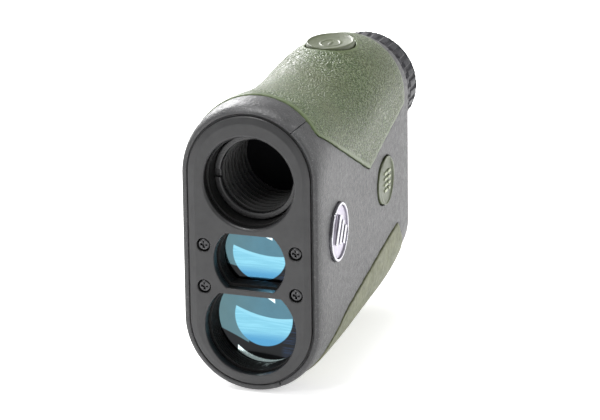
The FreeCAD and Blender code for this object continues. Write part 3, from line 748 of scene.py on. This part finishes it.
# %% Coating of the lower lenses, with painted reflections, shade and highlights
# Cyan, pale cyan and blue paint a reflection, black paints shade, night blue paints streaks of
# reflection, and glint, edge light and crescent paint highlights.
CYAN, PALE_CYAN = (0.120, 0.310, 0.400), (0.150, 0.360, 0.450)
BLUE = (0.046, 0.185, 0.320)
TEAL, PALE_TEAL, GREY_TEAL = (0.044, 0.108, 0.142), (0.056, 0.138, 0.180), (0.060, 0.104, 0.104)
BLACK, NIGHT_BLUE = (0.003, 0.004, 0.005), (0.008, 0.016, 0.034)
GLINT, EDGE_LIGHT, CRESCENT = (0.55, 0.70, 0.75), (0.20, 0.42, 0.50), (0.80, 1.0, 1.0)


def seat_colour_and_shade(finish, x, z, seat_line, under_arc, reflection_streak):
    """Teal above the arc and at the left; elsewhere black, painted shade, with dark blue streaks
    of painted reflection at the right.
    """
    slope, height = seat_line
    seat_right, stripes_left = -4.0, 5.0
    slant = maths(finish, "MULTIPLY_ADD", x, slope, height)
    left_seat = both(finish, below(finish, slant, z), below(finish, x, seat_right))
    seat = maths(finish, "MAXIMUM", left_seat, maths(finish, "SUBTRACT", 1.0, under_arc))
    cloud = ramp(finish, noise(finish, 2.6, 2), (0.3, 0.0), (0.75, 0.5))
    leftward = maths(finish, "MULTIPLY_ADD", x, -0.05, 0.5)
    grey_side = ramp(finish, leftward, (0.5, 0.0), (1.0, 0.6))
    teal = mix(finish, grey_side, mix(finish, cloud, TEAL, PALE_TEAL), GREY_TEAL)
    # painted reflection: dark blue streaks on the black at the right
    right_stripe = both(finish, reflection_streak, below(finish, stripes_left, x, 0.8))
    night = mix(finish, right_stripe, BLACK, NIGHT_BLUE)
    # painted shade: black over the seat outside the teal
    return mix(finish, seat, night, teal)


def aperture_reflection(finish, z, arc_height, under_arc, blue_below, reflection_streak):
    """Painted reflection: streaky cyan that turns blue at the bottom, with a painted highlight
    along the arc.
    """
    pale = mix(finish, reflection_streak, CYAN, PALE_CYAN)
    bright = mix(finish, below(finish, z, blue_below, 1.5), pale, BLUE)
    # painted highlight: a paler band just under the arc
    near_arc = below(finish, maths(finish, "SUBTRACT", arc_height, 0.9), z, 0.25)
    edge_light = both(finish, near_arc, under_arc)
    return mix(finish, maths(finish, "MULTIPLY", edge_light, 0.35), bright, EDGE_LIGHT)


def coating(name, aperture, arc, seat_line, blue_below, glint, crescent=None):
    """Blue coating with painted reflections, shade and highlights; every size is in mm from the
    lens's middle.
    """
    finish = new_finish(name, CYAN, 0.09, 1.0)
    x = add(finish, "ShaderNodeAttribute", attribute_name="across").outputs["Fac"]
    z = add(finish, "ShaderNodeAttribute", attribute_name="above").outputs["Fac"]
    arc_height = arc_at(finish, x, arc)
    under_arc = below(finish, z, arc_height)
    clear = both(finish, below(finish, reach_from(finish, x, z), aperture), under_arc)
    reflection_streak = reflection_streaks(finish, x, z)
    colour = seat_colour_and_shade(finish, x, z, seat_line, under_arc, reflection_streak)
    bright = aperture_reflection(finish, z, arc_height, under_arc, blue_below, reflection_streak)
    # painted reflection: the aperture under the arc
    colour = mix(finish, clear, colour, bright)
    # painted highlight: a white corner where the lens's edge catches light
    colour = mix(finish, corner(finish, x, z, *glint), colour, GLINT)
    if crescent:
        # painted highlight: a pale crescent along the receive lens's lower rim
        colour = mix(finish, crescent_at(finish, x, z, crescent), colour, CRESCENT)
    shader = shader_of(finish)
    shader.inputs["Coat Weight"].default_value = 0.3
    shader.inputs["Coat Roughness"].default_value = 0.03
    return dress(finish, colour, ramp(finish, noise(finish, 0.7), (0.4, 0.07), (0.8, 0.14)))


# %% Fit the three lenses
TRANSMIT_HEIGHT, RECEIVE_HEIGHT = -20.3, -37.6
DISH, NEARLY_FLAT = 50.0, 150.0
transmit_painted_coat = coating("transmit_coating_painted_light", aperture=6.95, arc=(-0.5, 3.0, 0.0234),
                        seat_line=(-0.25, -5.2), blue_below=-4.2, glint=(0.37, 4.9, 3.3))
receive_painted_coat = coating("receive_coating_painted_light", aperture=7.55, arc=(-0.2, 2.8, 0.026),
                       seat_line=(-0.5, -9.0), blue_below=-4.8, glint=(0.62, 5.6, 2.9),
                       crescent=(11.4, 1.30, 1.39, 12.14, -6.7))
lens_piece("transmit_glass", "transmit_lens", TRANSMIT_HEIGHT, DISH, transmit_painted_coat)
lens_piece("receive_glass", "receive_lens", RECEIVE_HEIGHT, DISH, receive_painted_coat)
lens_piece("objective_glass", "objective_front_lens", 0.0, NEARLY_FLAT, finishes["coated_glass"],
           forward=0.5, inset=0.2)

# %% [markdown]
# ## Buttons
# The buttons are firm mouldings. The top one is a dished disc with a thin lip, a raised ring and
# a short bar, all closed shapes that the remesh fuses with the disc. The side one has a low lip
# inside its edge and printed bars in two columns. The bars are a piece of their own, because they
# have another colour. Under the top button sits a rubber dome.

# %% Raised marks
def bar(centre, along, side, up, half_long, half_wide, half_high):
    """Closed box about a centre, with its own three directions."""
    points = []
    for w in (-half_high, half_high):
        for u, v in ((-1, -1), (1, -1), (1, 1), (-1, 1)):
            points.append(centre + (along * u * half_long + side * v * half_wide + up * w) * MM)
    faces = [(0, 3, 2, 1), (4, 5, 6, 7), (0, 1, 5, 4), (1, 2, 6, 5), (2, 3, 7, 6), (3, 0, 4, 7)]
    return points, faces


def closed_tube(path, outward, up, thick, sides=10):
    """Round-section tube along a closed path."""
    points, faces = [], []
    for point, side in zip(path, outward):
        for k in range(sides):
            b = 2 * math.pi * k / sides
            points.append(point + (side * math.cos(b) + up * math.sin(b)) * thick * MM)
    for i in range(len(path)):
        j = (i + 1) % len(path)
        for k in range(sides):
            m = (k + 1) % sides
            faces.append((i * sides + k, j * sides + k, j * sides + m, i * sides + m))
    return points, faces


def oval_ring(centre, along, side, up, long_half, short_half, thick, lift, segments=72):
    """Closed ring; lift gives each point's rise for its place on the oval."""
    path, outward = [], []
    for i in range(segments):
        a = 2 * math.pi * i / segments
        u, v = long_half * math.cos(a), short_half * math.sin(a)
        outward.append((along * math.cos(a) + side * math.sin(a)).normalized())
        path.append(centre + (along * u + side * v + up * lift(u, v)) * MM)
    return closed_tube(path, outward, up, thick)


X, Y, Z = Vector((1, 0, 0)), Vector((0, 1, 0)), Vector((0, 0, 1))


def top_button():
    half_y, half_x = 7.3, 6.0
    edge, thick = 0.3, 0.2
    dish, depth = 30.0, 0.75
    low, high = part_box("fire_button")
    centre = Vector((0, (low.y + high.y) / 2, high.z))

    def dished(u, v):
        return dish - depth - math.sqrt(dish ** 2 - u * u - v * v)

    ring = oval_ring(centre, Y, X, Z, 3.2, 2.5, thick, dished)
    lip = oval_ring(centre, Y, X, Z, half_y - edge, half_x - edge, thick, lambda u, v: -0.06)
    short_bar = bar(centre + Z * (0.05 - depth) * MM, Y, X, Z, 1.1, 0.22, thick)
    redrawn("fire_button", 0.15, 2, [ring, lip, short_bar])


# %% Side button and dome
def raised_piece(name, node_name, marks, cell_mm, finish):
    """Raised marks that ride with a node's body, as one piece."""
    piece = new_piece(name, mesh_from(name, [], []), None, node_name)
    join(piece, marks)
    soften(piece, cell_mm, 2, finish)
    print(name, "has", len(marks), "marks")


def side_button():
    half_z, half_y, inset = 7.2, 6.1, 1.0
    column_reach, row_pitch, rows = 1.35, 1.5, 4
    low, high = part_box("mode_button")
    centre = Vector((high.x, (low.y + high.y) / 2, (low.z + high.z) / 2))
    marks = []
    for row in range(rows):
        for column, half_long in ((-1, 0.95), (1, 0.6 + 0.15 * row)):
            rise = (row - (rows - 1) / 2) * row_pitch
            middle = centre + (Y * column * column_reach + Z * rise - X * 0.12) * MM
            marks.append(bar(middle, Y, Z, X, half_long, 0.34, 0.2))
    lip = oval_ring(centre, Z, Y, X, half_z - inset, half_y - inset, 0.25, lambda u, v: -0.28)
    redrawn("mode_button", 0.14, 2, [lip])
    print_paint = moulding("button_print", (0.36, 0.39, 0.28), 0.45)
    raised_piece("side_button_marks", "mode_button", marks, 0.08, print_paint)


def rubber_dome():
    """The rubber dome under the top button, with a mesh of its own."""
    dome = redrawn("fire_dome", 0.12, 1)
    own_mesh(dome)


top_button()
side_button()
rubber_dome()

# %% [markdown]
# ## Badge
# A polished rim holds a satin face. Its mark is a plain one: three slanted bars, one shorter than
# the next, in bright relief.

# %% Badge
def badge():
    tilt, pitch, half_wide, half_high = math.radians(28), 2.5, 0.72, 0.38
    low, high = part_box("badge_bezel")
    middle = (low + high) / 2
    redrawn("badge_bezel", 0.1, 1)
    redrawn("badge_face", 0.12, 1)
    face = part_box("badge_face")[1].x
    centre = Vector((face - 0.1 * MM, middle.y, middle.z))
    slant = (Z * math.cos(tilt) + Y * math.sin(tilt)).normalized()
    across = X.cross(slant)
    marks = []
    for i, half_long in ((-1, 3.8), (0, 3.1), (1, 2.3)):
        at = centre - across * i * pitch * MM
        marks.append(bar(at, slant, across, X, half_long, half_wide, half_high))
    raised_piece("badge_marks", "badge_face", marks, 0.08, finishes["badge_chrome"])


badge()

# %% [markdown]
# ## Seal bead
# A thin bead of seal fills the bottom of the groove around the plate, as it squeezes up when the
# screws are tightened. A tube along the plate's outline is all it needs.

# %% Seal bead
def seal_bead(groove_mm=0.42, thick=0.24, depth_mm=1.3):
    low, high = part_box("front_plate")
    radius = (high.x - low.x) / 2 / MM + groove_mm / 2
    top = (high.z - axis_height) / MM + groove_mm / 2 - radius
    bottom = (low.z - axis_height) / MM - groove_mm / 2 + radius
    path, outward = [], []
    steps = 64
    for start, height in ((0, top), (180, bottom)):
        for i in range(steps + 1):
            angle = math.radians(start + 180 * i / steps)
            direction = Vector((math.cos(angle), 0, math.sin(angle)))
            outward.append(direction)
            path.append(place(0, depth_mm, height) + direction * radius * MM)
    name = "plate_seal_bead"
    mesh = mesh_from(name, *closed_tube(path, outward, Y, thick))
    piece = new_piece(name, mesh, None, "plate_gasket")
    piece.data.materials.append(finishes["seal_rubber"])
    piece.data.shade_smooth()
    print("bead runs around", round(top - bottom + 2 * radius, 1), "mm of height")


seal_bead()

# %% [markdown]
# ## Table, light and camera
# The object stands on a large light table, as in a catalogue picture. The room around it is light
# behind and darker towards the viewer's side, so that the openings stay dark while the flank gets
# its grey from grazing reflections. One lamp hangs overhead, one behind at the left gives the top
# skin its sheen, and two weaker ones fill the right side and the front.

# %% Table and lamps
def table():
    half = 4.0
    corners = [(-half, -half, 0), (half, -half, 0), (half, half, 0), (-half, half, 0)]
    piece = bpy.data.objects.new("table", mesh_from("table", corners, [(0, 1, 2, 3)]))
    bpy.context.scene.collection.objects.link(piece)
    glow = new_finish("light_table", (0.9, 0.9, 0.9), 0.85)
    shader_of(glow).inputs["Emission Color"].default_value = (1, 1, 1, 1)
    shader_of(glow).inputs["Emission Strength"].default_value = 0.5
    piece.data.materials.append(glow)


def lamp(name, position, width, height, power):
    """Soft lamp that looks at the object."""
    data = bpy.data.lights.new(name, "AREA")
    data.shape = "RECTANGLE"
    data.size = width
    data.size_y = height
    data.energy = power
    light = bpy.data.objects.new(name, data)
    bpy.context.scene.collection.objects.link(light)
    light.location = position
    aim = Vector((0, 0, 0.045))
    light.rotation_euler = (aim - Vector(position)).to_track_quat("-Z", "Y").to_euler()
    print(name, "lamp has", power, "W")


table()
lamp("overhead", (-0.16, -0.1, 0.95), 0.35, 0.35, 8.5)
lamp("behind_left", (-0.6, 0.7, 0.42), 0.35, 0.35, 8.0)
lamp("right_side", (0.9, 0.1, 0.5), 0.6, 0.6, 3.5)
lamp("front_left", (-0.5, -0.85, 0.6), 0.25, 0.25, 2.6)


def room():
    """Light room that gets darker towards the viewer's side."""
    near, far = 0.26, 0.72
    world = bpy.data.worlds.new("white_room")
    bpy.context.scene.world = world
    world.use_nodes = True
    split = add(world, "ShaderNodeSeparateXYZ")
    feed(world, add(world, "ShaderNodeTexCoord").outputs["Generated"], split.inputs[0])
    away = maths(world, "MULTIPLY_ADD", split.outputs["Y"], 0.5, 0.5)
    grey = ramp(world, away, (0.0, near), (1.0, far))
    feed(world, grey, world.node_tree.nodes["Background"].inputs["Color"])


room()
bpy.context.scene.view_settings.view_transform = "Standard"


# %% Camera
def camera():
    """Long lens, about 20 degrees to the right of the front and 18 above."""
    azimuth, elevation, roll = (math.radians(a) for a in (19.68, 18.45, -0.77))
    aim = Vector((0, -10.34 * MM, 35.52 * MM))
    distance = 1.0052
    back = Vector((math.sin(azimuth) * math.cos(elevation),
                   -math.cos(azimuth) * math.cos(elevation), math.sin(elevation)))
    right = Vector((math.cos(azimuth), math.sin(azimuth), 0))
    up = back.cross(right)
    level = math.cos(roll) * right + math.sin(roll) * up
    above = math.cos(roll) * up - math.sin(roll) * right
    data = bpy.data.cameras.new("camera")
    data.lens = 240
    data.sensor_width = 36
    viewer = bpy.data.objects.new("camera", data)
    bpy.context.scene.collection.objects.link(viewer)
    turn = Matrix((level, above, back)).transposed().to_4x4()
    viewer.matrix_world = Matrix.Translation(aim + back * distance) @ turn
    bpy.context.scene.camera = viewer
    print("camera stands", distance, "m from the object")


camera()
